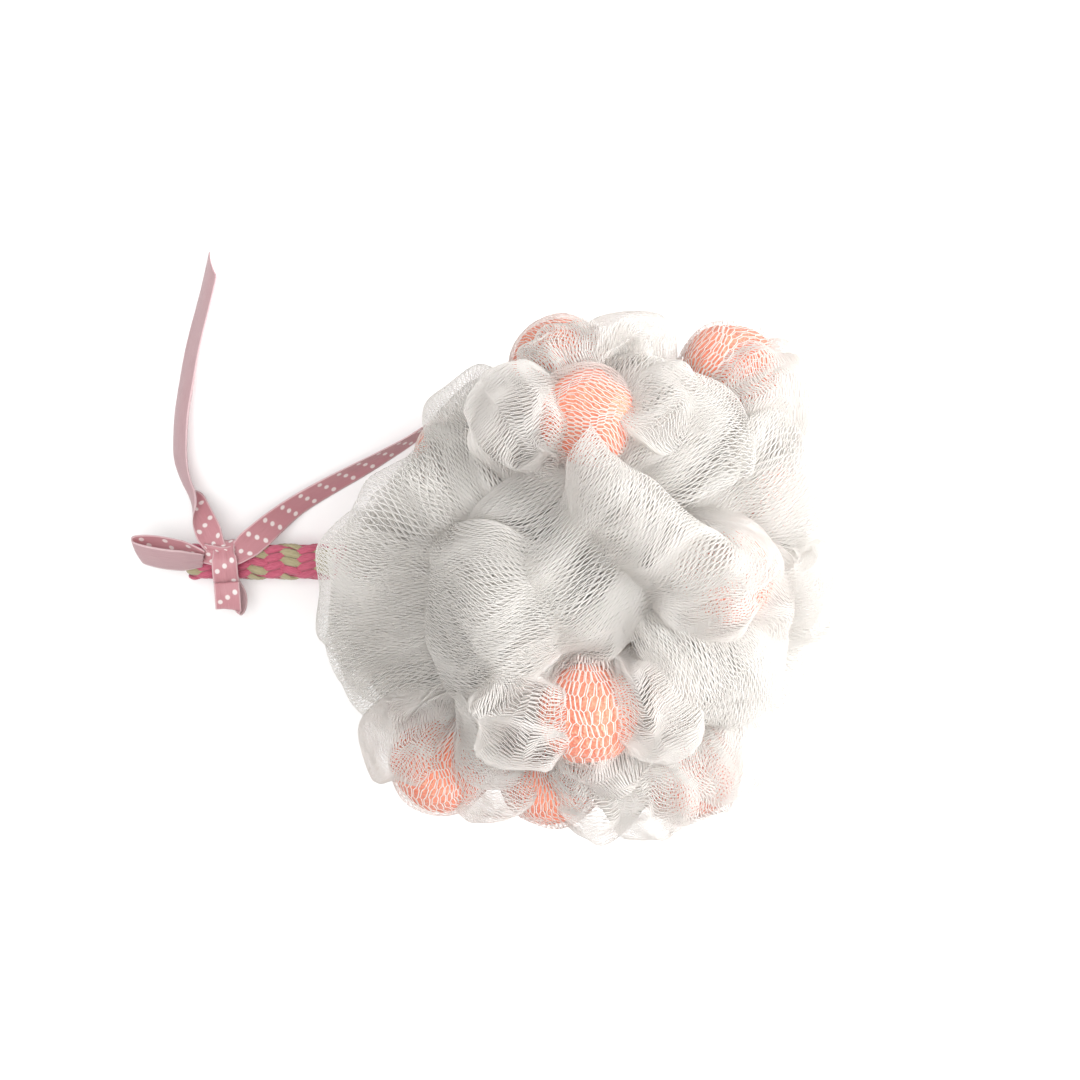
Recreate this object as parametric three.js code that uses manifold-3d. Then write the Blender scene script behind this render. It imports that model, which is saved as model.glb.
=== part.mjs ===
// A net scrubbing pouf: netting ruffles and foam-filled netting pouches gathered at a tied core, with a
// flat braided hanging loop and a ribbon bow knotted round it. Millimetres, +Z up. The origin is on the
// table under the core, in the middle of the flattened patch that the pouf rests on.
import * as THREE from "three";
import { mergeVertices } from "three/addons/utils/BufferGeometryUtils.js";
import Module from "manifold-3d";

const wasm = await Module();
wasm.setup();

// Driving dimensions.
const POUF_RADIUS = 58;
const CORE_HEIGHT = 50;
const CORE_DIAMETER = 18;
const TIE_THICKNESS = 2.4;
const FOAM_DIAMETER = 22;
const NET_WALL = 0.9;
const POUCH_NECK_DIAMETER = 4.4;
const PLEAT_DEPTH = 0.22;
const RUFFLE_SHOULDER = 0.6;
const RUFFLE_NECK_SHARE = 0.2;
const RUFFLE_FILL = 1.15;
const RUFFLE_THINNING = 0.86;
const RIM_DROP = 0.1;
const LIP_SHARE = 0.34;
const MOUTH_FLARE = 0.2;
const LAP_NEARNESS = 0.8;
const CORD_WIDTH = 8.4;
const CORD_THICKNESS = 4;
const CORD_EXIT_RADIUS = 47;
const CORD_EXIT_SINK = 43;
const ROOT_WIDTH = 6;
const ROOT_BEND = 0.66;
const RIBBON_WIDTH = 6.4;
const RIBBON_THICKNESS = 0.5;
const KNOT_REACH = 83;
const KNOT_BAND_WIDTH = 5;
const KNOT_LUMP_WIDTH = 7.4;
const KNOT_LUMP_HEIGHT = 4.8;
const RIBBON_PINCH = 0.45;
const RIBBON_PINCH_LENGTH = 6;
const RIBBON_END_SLANT = 0.7;
const CLEARANCE = 0.35;
const TABLE_LIFT = 0.15;

// Facets.
const FOAM_SEGMENTS = 10;
const POUCH_SEGMENTS = 10;
const CORE_SEGMENTS = 14;
const RUFFLE_SIDES = 12;
const LAP_SEGMENTS = 12;
const RUFFLE_RINGS = 7;
const CORD_SIDES = 8;
const NOSE_SIDES = 16;
const CORD_STEPS = 36;
const ROOT_STEPS = 8;
const BOW_STEPS = 18;
const TAIL_STEPS = 30;

// Where each foam lump sits: azimuth and elevation in degrees seen from the core, and its distance from the
// core as a share of the pouf's radius.
const FOAM_PLACES = [
  [97, 5, 0.784],
  [88, 40, 0.716],
  [52, 6, 0.931],
  [-6, 38, 0.69],
  [-88, 38, 0.712],
  [-125, 4, 0.94],
  [-98, 3, 0.828],
  [-63, 4, 0.879],
  [22, -22, 0.793],
  [140, -28, 0.69],
  [92, -47, 0.741],
  [-62, -46, 0.741],
  [-128, -46, 0.759],
];

// Each empty ruffle: azimuth and elevation, then its reach from the core, half width and half thickness as
// shares of the pouf's radius, the roll of its width away from the level, how far its rim is bowed as a share
// of that radius, how far its ends gape and how thin a lip it has. One whose ends don't gape is a tube.
const RUFFLE_PLACES = [
  [29, 67, 0.897, 0.362, 0.224, -160, 0.155, 0.9, 0.5],
  [57, 34, 0.966, 0.293, 0.259, -19, 0, 1, 0.35],
  [78, 13, 1.017, 0.121, 0.095, 0, 0.207, 0, 0],
  [104, 24, 0.862, 0.086, 0.069, 0, 0.121, 0, 0],
  [123, 18, 0.897, 0.241, 0.19, -25, 0, 0.6, 0.4],
  [145, 27, 0.862, 0.241, 0.207, -18, 0, 0.6, 0.4],
  [167, 18, 0.914, 0.276, 0.207, -40, 0, 0.6, 0.4],
  [190, 10, 1.034, 0.31, 0.224, -27, 0, 0.6, 0.4],
  [209, 4, 1.034, 0.276, 0.207, -17, 0, 0.6, 0.4],
  [214, 47, 0.879, 0.414, 0.293, -35, 0, 0.7, 0.6],
  [176, 76, 0.741, 0.414, 0.345, 41, 0, 0.6, 0],
  [22, 16, 1.017, 0.293, 0.259, 30, 0, 0.5, 0.3],
  [-10, 4, 1.034, 0.293, 0.241, 60, 0, 0.5, 0.3],
  [-39, 31, 0.948, 0.31, 0.259, -38, 0, 0.6, 0.4],
  [-81, 12, 0.983, 0.259, 0.19, -15, 0, 0.8, 0.4],
  [-34, -6, 0.983, 0.259, 0.207, 0, 0, 0.4, 0.3],
  [-114, 14, 1, 0.31, 0.172, -65, 0, 0.7, 0.4],
  [0, -90, 0.948, 0.414, 0.379, 0, 0, 0.4, 0],
  [0, -40, 0.966, 0.293, 0.241, 0, 0, 0.4, 0.3],
  [58, -28, 0.983, 0.293, 0.224, 0, 0, 0.4, 0.3],
  [124, -52, 0.897, 0.259, 0.207, 0, 0, 0.4, 0.3],
  [207, -22, 0.983, 0.293, 0.224, 0, 0, 0.4, 0.3],
  [-100, -32, 0.948, 0.293, 0.224, 0, 0, 0.4, 0.3],
  [172, -12, 0.879, 0.241, 0.172, 0, 0, 0.4, 0.3],
];

// Loose folds that lap over the sides of a lump: the lump's number, the way round it in degrees from the
// level, and as shares of the pouf's radius how far the fold's middle lies from the lump's and its radius.
const LAP_PLACES = [
  [1, 165, 0.259, 0.19],
  [2, 5, 0.259, 0.207],
  [2, 185, 0.276, 0.207],
  [2, -80, 0.259, 0.198],
  [3, 150, 0.19, 0.19],
  [3, 205, 0.207, 0.19],
  [4, 250, 0.155, 0.216],
  [5, 5, 0.241, 0.207],
  [5, 180, 0.241, 0.207],
  [6, 25, 0.224, 0.207],
  [6, 110, 0.224, 0.207],
  [7, 20, 0.19, 0.207],
  [7, 165, 0.224, 0.207],
  [8, 20, 0.155, 0.207],
  [8, 160, 0.172, 0.207],
];

// Materials.
const netting = () => new THREE.MeshStandardMaterial({ color: 0xf2f1ee, roughness: 0.55, metalness: 0 });
const foam = () => new THREE.MeshStandardMaterial({ color: 0xf08c6e, roughness: 0.95, metalness: 0 });
const thread = () => new THREE.MeshStandardMaterial({ color: 0xe9e6e0, roughness: 0.8, metalness: 0 });
const braid = () => new THREE.MeshStandardMaterial({ color: 0xd4607f, roughness: 0.7, metalness: 0 });
const satin = () => new THREE.MeshStandardMaterial({ color: 0xc9848f, roughness: 0.45, metalness: 0 });

// Sizes that follow from the driving ones.
const coreRadius = CORE_DIAMETER / 2;
const neckStart = coreRadius + CLEARANCE;
const foamRadius = FOAM_DIAMETER / 2;
const pouchInner = foamRadius + CLEARANCE;
const pouchOuter = pouchInner + NET_WALL;
const neckRadius = POUCH_NECK_DIAMETER / 2;
const strandPitch = CORD_THICKNESS + CLEARANCE;
const lowerStrand = TABLE_LIFT + CORD_THICKNESS / 2;
const upperStrand = lowerStrand + strandPitch;
const pairHeight = strandPitch + CORD_THICKNESS;
const pairMiddle = TABLE_LIFT + pairHeight / 2;

const up = new THREE.Vector3(0, 0, 1);

function direction(azimuth, elevation) {
  const a = THREE.MathUtils.degToRad(azimuth);
  const e = THREE.MathUtils.degToRad(elevation);
  return new THREE.Vector3(Math.cos(e) * Math.cos(a), Math.cos(e) * Math.sin(a), Math.sin(e));
}

function addMesh(parent, name, geometry, material) {
  const flat = geometry.index ? geometry.toNonIndexed() : geometry;
  flat.computeVertexNormals();
  const mesh = new THREE.Mesh(flat, material);
  mesh.name = name;
  parent.add(mesh);
  return mesh;
}

function toSolid(geometry) {
  const bare = geometry.clone();
  bare.deleteAttribute("normal");
  bare.deleteAttribute("uv");
  const welded = mergeVertices(bare, 1e-4);
  const vertProperties = new Float32Array(welded.attributes.position.array);
  const triVerts = new Uint32Array(welded.index.array);
  return new wasm.Manifold(new wasm.Mesh({ numProp: 3, vertProperties, triVerts }));
}

function toGeometry(solid) {
  const mesh = solid.getMesh();
  const geometry = new THREE.BufferGeometry();
  geometry.setAttribute("position", new THREE.BufferAttribute(mesh.vertProperties, 3));
  geometry.setIndex(new THREE.BufferAttribute(mesh.triVerts, 1));
  return geometry;
}

// A closed skin over rings of points that run anticlockwise about the way they advance, with flat ends. On
// a thin strip both faces are split along the same diagonal, so that they keep apart where it twists.
function loft(rings, thin = false) {
  const sides = rings[0].length;
  const points = rings.flat();
  const index = [];
  for (let i = 0; i + 1 < rings.length; i += 1) {
    for (let j = 0; j < sides; j += 1) {
      const a = i * sides + j;
      const b = i * sides + ((j + 1) % sides);
      if (thin && j >= sides / 2) {
        index.push(a, b, a + sides, b, b + sides, a + sides);
      } else {
        index.push(a, b, b + sides, a, b + sides, a + sides);
      }
    }
  }
  const last = (rings.length - 1) * sides;
  for (let j = 1; j <= sides / 2; j += 1) {
    const k = sides - j;
    if (j < k) index.push(j - 1, k, j, last + j - 1, last + j, last + k);
    if (j > 1) index.push(j - 1, k + 1, k, last + j - 1, last + k, last + k + 1);
  }
  const geometry = new THREE.BufferGeometry().setFromPoints(points);
  geometry.setIndex(index);
  return geometry;
}

// Foam lumps in their netting pouches. A pouch is a teardrop skin, open at the neck that the tie gathers.
function teardrop(bulb, neck, distance) {
  const lean = Math.asin((bulb - neck) / (distance - neckStart));
  const path = new THREE.Path();
  path.absarc(0, distance, bulb, Math.PI / 2, -lean, true);
  path.lineTo(neck, neckStart);
  return path.getPoints(3);
}

const pouf = new THREE.Group();
pouf.position.z = CORE_HEIGHT;

FOAM_PLACES.forEach(([azimuth, elevation, share], i) => {
  const distance = share * POUF_RADIUS;
  const number = String(i + 1).padStart(2, "0");
  const spoke = new THREE.Group();
  spoke.quaternion.setFromUnitVectors(new THREE.Vector3(0, 1, 0), direction(azimuth, elevation));
  const outside = teardrop(pouchOuter, neckRadius, distance);
  const inside = teardrop(pouchInner, neckRadius - NET_WALL, distance);
  const profile = [...outside, ...inside.reverse()].reverse();
  addMesh(spoke, `net_pouch_${number}`, new THREE.LatheGeometry(profile, POUCH_SEGMENTS), netting());
  const half = new THREE.Path().absarc(0, 0, foamRadius, -Math.PI / 2, Math.PI / 2, false).getPoints(4);
  const lump = addMesh(spoke, `foam_lump_${number}`, new THREE.LatheGeometry(half, FOAM_SEGMENTS), foam());
  lump.position.y = distance;
  pouf.add(spoke);
});

// The gathered middle of the netting, with the tie seated in the groove round its waist.
const tieRadius = TIE_THICKNESS / 2;
const tieRing = coreRadius - tieRadius - CLEARANCE;
const grooveRadius = tieRadius + CLEARANCE;
const grooveEdge = Math.asin(grooveRadius / coreRadius);
const waist = new THREE.Path();
waist.absarc(0, 0, coreRadius, -Math.PI / 2, -grooveEdge, false);
waist.lineTo(tieRing, -grooveRadius);
waist.absarc(tieRing, 0, grooveRadius, -Math.PI / 2, -1.5 * Math.PI, true);
waist.absarc(0, 0, coreRadius, grooveEdge, Math.PI / 2, false);
const gather = new THREE.LatheGeometry(waist.getPoints(3), CORE_SEGMENTS).rotateX(Math.PI / 2);
addMesh(pouf, "core_gather", gather, netting());
addMesh(pouf, "core_tie", new THREE.TorusGeometry(tieRing, tieRadius, 6, CORE_SEGMENTS), thread());

// The cord. Both strands of the loop run together from the tie to the exit under the ruffles.
function tube(curve, steps, width, thickness) {
  const section = new THREE.Shape().absellipse(0, 0, width / 2, thickness / 2, 0, 2 * Math.PI);
  return new THREE.ExtrudeGeometry(section, { steps, curveSegments: CORD_SIDES / 2, extrudePath: curve });
}

const rootStart = direction(180, -CORD_EXIT_SINK).multiplyScalar(neckStart + CLEARANCE);
const rootEnd = new THREE.Vector3(CORD_WIDTH / 2 + CLEARANCE - CORD_EXIT_RADIUS, 0, pairMiddle - CORE_HEIGHT);
const rootBend = new THREE.Vector3(rootEnd.x * ROOT_BEND, 0, rootEnd.z);
const rootCurve = new THREE.QuadraticBezierCurve3(rootStart, rootBend, rootEnd);
addMesh(pouf, "cord_root", tube(rootCurve, ROOT_STEPS, ROOT_WIDTH, pairHeight), braid());

// The empty ruffles: pleated at the neck, swelling to a rounded fold. Each is cut back to its own share of
// the ball: half way to the next ruffle, and clear of each pouch, the cord and the table.
const ruffleWays = RUFFLE_PLACES.map(([azimuth, elevation]) => direction(azimuth, elevation));
const rootRoom = toSolid(
  tube(rootCurve, ROOT_STEPS, ROOT_WIDTH + 4 * CLEARANCE, pairHeight + 4 * CLEARANCE),
);

function fullness(t, open) {
  if (t > RUFFLE_SHOULDER) {
    const past = (t - RUFFLE_SHOULDER) / (1 - RUFFLE_SHOULDER);
    return open ? 1 + MOUTH_FLARE * past * past : Math.sqrt(1 - past * past);
  }
  return RUFFLE_NECK_SHARE + (1 - RUFFLE_NECK_SHARE) * Math.sin((Math.PI / 2) * (t / RUFFLE_SHOULDER));
}

function thinness(t) {
  const tip = Math.max(0, (t - 0.94) / 0.06);
  const flare = THREE.MathUtils.smoothstep(0.8 - t, 0, 0.3);
  return LIP_SHARE * Math.sqrt(1 - tip * tip) + (1 - LIP_SHARE) * flare;
}

function ruffle(way, [, , reachShare, widthShare, thicknessShare, roll, bowShare, gape, lip]) {
  const reach = reachShare * POUF_RADIUS;
  const halfThickness = RUFFLE_THINNING * thicknessShare * POUF_RADIUS;
  const bow = bowShare * POUF_RADIUS;
  const fan = (RUFFLE_FILL * widthShare) / reachShare;
  const open = gape === 0;
  const level = Math.abs(way.z) > 0.999 ? new THREE.Vector3(1, 0, 0) : up.clone().cross(way).normalize();
  const across = level.applyAxisAngle(way, THREE.MathUtils.degToRad(roll));
  const over = way.clone().cross(across);
  const rings = [];
  for (let i = 0; i < RUFFLE_RINGS; i += 1) {
    const t = Math.sin((Math.PI / 2) * (i / (RUFFLE_RINGS - 0.6)));
    const full = fullness(t, open);
    const lipped = (1 - lip) * full + lip * Math.min(full, thinness(t));
    const ring = [];
    for (let j = 0; j < RUFFLE_SIDES; j += 1) {
      const turn = (2 * Math.PI * j) / RUFFLE_SIDES;
      const u = Math.cos(turn);
      const v = Math.sin(turn);
      const pleat = 1 - (j % 2) * PLEAT_DEPTH * (1 - t);
      const swell = gape * Math.sign(v) * Math.min(1, Math.abs(2 * v)) + (1 - gape) * v;
      const lift = open ? t ** 5 : t * t * u * u;
      const rise = halfThickness * (v > 0 ? lipped : full) * pleat * swell + bow * lift;
      const out = (neckStart + (reach - neckStart) * t) * (1 - RIM_DROP * u * u * t);
      const point = way.clone().multiplyScalar(out * Math.cos(fan * u));
      point.addScaledVector(across, out * Math.sin(fan * u));
      point.addScaledVector(over, rise);
      ring.push(point);
    }
    rings.push(ring);
  }
  return toSolid(loft(rings));
}

const laps = LAP_PLACES.map(([number, turn, asideShare, bulbShare]) => {
  const [azimuth, elevation, distance] = FOAM_PLACES[number - 1];
  const way = direction(azimuth, elevation);
  const side = up.clone().cross(way).normalize().applyAxisAngle(way, THREE.MathUtils.degToRad(turn));
  const middle = way.multiplyScalar(distance * POUF_RADIUS).addScaledVector(side, asideShare * POUF_RADIUS);
  const root = middle.clone().setLength(neckStart);
  const ball = wasm.Manifold.sphere(bulbShare * POUF_RADIUS, LAP_SEGMENTS).translate(middle.toArray());
  return { way: middle.clone().normalize(), solid: wasm.Manifold.hull([ball, root.toArray()]) };
});

function withLaps(solid, way) {
  const near = laps.filter((lap) => lap.way.dot(way) > LAP_NEARNESS);
  return near.reduce((sum, lap) => sum.add(lap.solid), solid);
}

function ownShare(solid, number) {
  const way = ruffleWays[number];
  let share = solid.trimByPlane([0, 0, 1], -CORE_HEIGHT);
  ruffleWays.forEach((other, k) => {
    if (k === number) return;
    const apart = way.clone().sub(other).normalize();
    share = share.trimByPlane(apart.toArray(), CLEARANCE / 2);
  });
  FOAM_PLACES.forEach(([azimuth, elevation, distance]) => {
    const spoke = direction(azimuth, elevation);
    const hinge = spoke.clone().cross(way).normalize();
    const halfCone = Math.asin((pouchOuter + CLEARANCE) / (distance * POUF_RADIUS));
    const touch = spoke.clone().applyAxisAngle(hinge, halfCone);
    const apart = hinge.cross(touch);
    share = share.trimByPlane(apart.toArray(), 0);
  });
  const bodies = share.subtract(rootRoom).decompose();
  return bodies.reduce((large, body) => (body.volume() > large.volume() ? body : large));
}

RUFFLE_PLACES.forEach((place, i) => {
  const whole = ruffle(ruffleWays[i], place);
  const name = `net_ruffle_${String(i + 1).padStart(2, "0")}`;
  addMesh(pouf, name, toGeometry(ownShare(withLaps(whole, ruffleWays[i]), i)), netting());
});

// The free loop of the cord: out along the upper strand, round its end, and back along the lower one. It is
// lifted where the ribbon passes under it, and its nose is round about the exit, where it swings.
const knotLower = lowerStrand + RIBBON_THICKNESS + CLEARANCE;
const knotUpper = knotLower + strandPitch;
const knotMiddle = (knotLower + knotUpper) / 2;
const loopStart = -CORD_EXIT_RADIUS + CORD_WIDTH / 2;
const loopRoute = [
  [loopStart, upperStrand],
  [-CORD_EXIT_RADIUS - 6, upperStrand + 0.5],
  [-CORD_EXIT_RADIUS - 17, upperStrand + 1.6],
  [-CORD_EXIT_RADIUS - 27, upperStrand + 1.3],
  [-KNOT_REACH + 3, knotUpper],
  [-KNOT_REACH - 3, knotUpper],
  [-KNOT_REACH - 6.4, knotUpper - 0.3],
  [-KNOT_REACH - 8, knotMiddle],
  [-KNOT_REACH - 6.4, knotLower + 0.3],
  [-KNOT_REACH - 3, knotLower],
  [-KNOT_REACH + 3, knotLower],
  [-CORD_EXIT_RADIUS - 24, lowerStrand],
  [-CORD_EXIT_RADIUS - 10, lowerStrand],
  [loopStart, lowerStrand],
];
const loopCurve = new THREE.CatmullRomCurve3(loopRoute.map(([x, z]) => new THREE.Vector3(x, 0, z)));
const part = new THREE.Group();
part.add(pouf);
const pastExit = new THREE.BoxGeometry(2 * KNOT_REACH, 2 * CORD_WIDTH, 8 * CORD_THICKNESS);
pastExit.translate(-CORD_EXIT_RADIUS - KNOT_REACH, 0, 0);
const nose = new THREE.CylinderGeometry(CORD_WIDTH / 2, CORD_WIDTH / 2, 8 * CORD_THICKNESS, NOSE_SIDES);
nose.rotateX(Math.PI / 2).translate(-CORD_EXIT_RADIUS, 0, 0);
const loopRoom = toSolid(pastExit).add(toSolid(nose));
const loopTube = toSolid(tube(loopCurve, CORD_STEPS, CORD_WIDTH, CORD_THICKNESS));
addMesh(part, "cord_loop", toGeometry(loopTube.intersect(loopRoom)), braid());

// The bow's knot: a band of ribbon round both strands, with the crossed turn heaped on top of it.
function bandOutline(shape, grow) {
  const right = CORD_WIDTH / 2 + CLEARANCE + grow;
  const low = knotLower - CORD_THICKNESS / 2 - CLEARANCE - grow;
  const high = knotUpper + CORD_THICKNESS / 2 + CLEARANCE + grow;
  const corner = CORD_THICKNESS / 4 + grow;
  shape.moveTo(right - corner, low);
  shape.absarc(right - corner, low + corner, corner, -Math.PI / 2, 0, false);
  shape.absarc(right - corner, high - corner, corner, 0, Math.PI / 2, false);
  shape.absarc(corner - right, high - corner, corner, Math.PI / 2, Math.PI, false);
  shape.absarc(corner - right, low + corner, corner, Math.PI, 1.5 * Math.PI, false);
  return shape;
}

const bandShape = bandOutline(new THREE.Shape(), RIBBON_THICKNESS);
bandShape.holes.push(bandOutline(new THREE.Path(), 0));
const bandSettings = { depth: KNOT_BAND_WIDTH, bevelEnabled: false, curveSegments: 3 };
const band = new THREE.ExtrudeGeometry(bandShape, bandSettings);
band.translate(0, 0, -KNOT_BAND_WIDTH / 2).rotateX(Math.PI / 2).rotateZ(Math.PI / 2);
band.translate(-KNOT_REACH, 0, 0);
const bandTop = knotUpper + CORD_THICKNESS / 2 + CLEARANCE + RIBBON_THICKNESS;
const lumpHeight = bandTop + KNOT_LUMP_HEIGHT / 5;
const lump = new THREE.SphereGeometry(0.5, 14, 9);
lump.scale(KNOT_LUMP_WIDTH, KNOT_LUMP_WIDTH, KNOT_LUMP_HEIGHT);
lump.translate(-KNOT_REACH, 0, lumpHeight);
const lumpAbove = toSolid(lump).trimByPlane([0, 0, 1], bandTop - RIBBON_THICKNESS / 2);
addMesh(part, "bow_knot", toGeometry(toSolid(band).add(lumpAbove)), satin());

// The ribbon is pinched where the knot grips it, and cut on the slant at a free end.
function ribbonStrip(curve, steps, acrossAt, pinchEnd, slant) {
  const length = curve.getLength();
  const rings = [];
  for (let i = 0; i <= steps; i += 1) {
    const t = i / steps;
    const along = curve.getTangent(t);
    const across = acrossAt(t, along);
    const over = new THREE.Vector3().crossVectors(along, across);
    const fromKnot = (pinchEnd ? Math.min(t, 1 - t) : t) * length;
    const open = Math.min(fromKnot / RIBBON_PINCH_LENGTH, 1);
    const half = (RIBBON_WIDTH / 2) * (RIBBON_PINCH + (1 - RIBBON_PINCH) * open);
    const lean = i === steps ? slant * half : 0;
    const corners = [
      [1, -1],
      [1, 1],
      [-1, 1],
      [-1, -1],
    ];
    rings.push(
      corners.map(([side, face]) => {
        const corner = curve.getPoint(t).addScaledVector(across, side * half);
        corner.addScaledVector(over, (face * RIBBON_THICKNESS) / 2);
        return corner.addScaledVector(along, side * lean);
      }),
    );
  }
  return loft(rings, true);
}

// A tail's route: where its middle runs from the knot and above the table, and how far its width is rolled
// up from the level.
function tail(route) {
  const middle = ([x, y, z]) => new THREE.Vector3(x - KNOT_REACH, y, z);
  const curve = new THREE.CatmullRomCurve3(route.map(middle));
  const acrossAt = (t, along) => {
    const at = Math.min(Math.floor(t * (route.length - 1)), route.length - 2);
    const roll = THREE.MathUtils.lerp(route[at][3], route[at + 1][3], t * (route.length - 1) - at);
    const across = up.clone().cross(along).normalize();
    return across.applyAxisAngle(along, THREE.MathUtils.degToRad(roll));
  };
  return ribbonStrip(curve, TAIL_STEPS, acrossAt, false, RIBBON_END_SLANT);
}

const upperTail = [
  [-2.8, 4.4, lumpHeight, 0],
  [-4.6, 8, 9.6, 15],
  [-6.8, 11.6, 6.6, 60],
  [-8.9, 15.4, 4.4, 105],
  [-10.7, 19.8, 3.3, 140],
  [-11.6, 26.4, 2.9, 140],
  [-11.4, 34.8, 2.8, 140],
  [-10, 43.1, 2.9, 130],
  [-8.4, 50.9, 3, 127],
  [-6.3, 59.7, 3, 127],
  [-3.9, 70.4, 3, 127],
];
addMesh(part, "ribbon_tail_upper", tail(upperTail), satin());

const rightTail = [
  [4.2, 2.9, lumpHeight, 0],
  [7.6, 6, 9.2, 0],
  [11.5, 9.6, 6, 4],
  [16.3, 13.4, 3.4, 12],
  [23.1, 17.6, 2.6, 34],
  [30.1, 21.6, 3, 53],
  [37, 25.4, 3.3, 66],
  [42.9, 28.7, 3.4, 73],
  [48.8, 32.8, 3.5, 80],
];
addMesh(part, "ribbon_tail_right", tail(rightTail), satin());

// The bow's two loops: each leaves the knot, folds back at its tip and returns beside itself.
function bowLoop(root, outward, opening, length, gape) {
  const o = outward.clone().normalize();
  const q = opening.clone().addScaledVector(o, -opening.dot(o)).normalize();
  const across = new THREE.Vector3().crossVectors(o, q);
  const outline = [
    [0, -0.16],
    [0.3, -0.42],
    [0.68, -0.5],
    [0.94, -0.28],
    [1, 0.05],
    [0.93, 0.36],
    [0.62, 0.5],
    [0.3, 0.42],
    [0, 0.16],
  ];
  const middle = ([s, h]) => root.clone().addScaledVector(o, s * length).addScaledVector(q, h * gape);
  const curve = new THREE.CatmullRomCurve3(outline.map(middle));
  return ribbonStrip(curve, BOW_STEPS, () => across, true, 0);
}

const leftRoot = new THREE.Vector3(-KNOT_REACH - 3.7, 1.3, lumpHeight + 1.2);
const leftWay = new THREE.Vector3(-0.985, 0.15, 0.08);
const leftGape = new THREE.Vector3(0, -0.7, 0.71);
addMesh(part, "bow_loop_left", bowLoop(leftRoot, leftWay, leftGape, 15.5, 4.4), satin());
const lowerRoot = new THREE.Vector3(-KNOT_REACH + 0.6, -5.2, lumpHeight + 1);
const lowerWay = new THREE.Vector3(0.1, -0.9, -0.4);
const lowerGape = new THREE.Vector3(0.15, -0.4, 0.9);
addMesh(part, "bow_loop_lower", bowLoop(lowerRoot, lowerWay, lowerGape, 7, 4.4), satin());

export default part;
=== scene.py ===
import math

import bpy
import numpy as np
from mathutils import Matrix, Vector


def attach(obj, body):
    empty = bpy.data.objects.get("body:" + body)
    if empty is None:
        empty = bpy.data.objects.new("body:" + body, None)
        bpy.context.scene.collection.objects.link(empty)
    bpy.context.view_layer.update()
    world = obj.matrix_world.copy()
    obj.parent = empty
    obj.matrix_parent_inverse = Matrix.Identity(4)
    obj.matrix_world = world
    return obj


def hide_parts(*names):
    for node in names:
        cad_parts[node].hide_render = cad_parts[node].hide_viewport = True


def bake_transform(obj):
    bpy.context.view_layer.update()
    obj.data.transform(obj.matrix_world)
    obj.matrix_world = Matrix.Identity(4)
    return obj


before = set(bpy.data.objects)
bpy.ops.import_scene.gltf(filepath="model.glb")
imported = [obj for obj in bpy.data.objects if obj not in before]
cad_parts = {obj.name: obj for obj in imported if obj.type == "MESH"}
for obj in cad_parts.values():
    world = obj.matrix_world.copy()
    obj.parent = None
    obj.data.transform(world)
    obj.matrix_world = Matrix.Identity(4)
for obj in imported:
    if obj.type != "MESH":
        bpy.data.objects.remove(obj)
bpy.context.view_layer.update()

# The gathered middle: the whole netting tube bunched into one fist of pleats, with a waist where the tie
# bites. It is the same soft plastic netting as the ruffles. The pleats run from pole to pole and crowd
# together at the waist.
MM = 0.001
CORE = np.array([0.0, 0.0, 50.0])
FIST_RADIUS = 9.0
FIST_ROWS = 39
FIST_TURNS = 180
rows = np.linspace(-0.5 * np.pi, 0.5 * np.pi, FIST_ROWS + 2)[1:-1, None]
turns = np.linspace(0, 2 * np.pi, FIST_TURNS, endpoint=False)[None, :]
waist = 1 - 0.3 * np.exp(-((np.sin(rows) / 0.17) ** 2))
pleat = 0.35 * np.cos(30 * turns + 1.5 * np.sin(3 * turns)) + 0.2 * np.cos(47 * turns)
spread = np.cos(rows) * (FIST_RADIUS * waist + pleat)
height = np.broadcast_to(FIST_RADIUS * np.sin(rows), spread.shape)
fist = np.stack([spread * np.cos(turns), spread * np.sin(turns), height], axis=-1).reshape(-1, 3)
fist = np.concatenate([fist, [[0, 0, -FIST_RADIUS], [0, 0, FIST_RADIUS]]]) + CORE
ring = np.arange(FIST_TURNS)
next_ring = (ring + 1) % FIST_TURNS
low_pole = FIST_ROWS * FIST_TURNS
top_row = low_pole - FIST_TURNS
low_cap = np.stack([np.full(FIST_TURNS, low_pole), next_ring, ring], axis=-1)
high_cap = np.stack([np.full(FIST_TURNS, low_pole + 1), top_row + ring, top_row + next_ring], axis=-1)


def grid_faces(rows, columns, close_columns=False):
    """Four-sided faces over points laid out row by row."""
    r = np.arange(rows - 1)[:, None]
    c = np.arange(columns if close_columns else columns - 1)[None, :]
    across = (c + 1) % columns
    quads = [r * columns + c, r * columns + across, (r + 1) * columns + across, (r + 1) * columns + c]
    return np.stack([np.broadcast_to(q, (len(r), c.size)) for q in quads], axis=-1).reshape(-1, 4)


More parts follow.
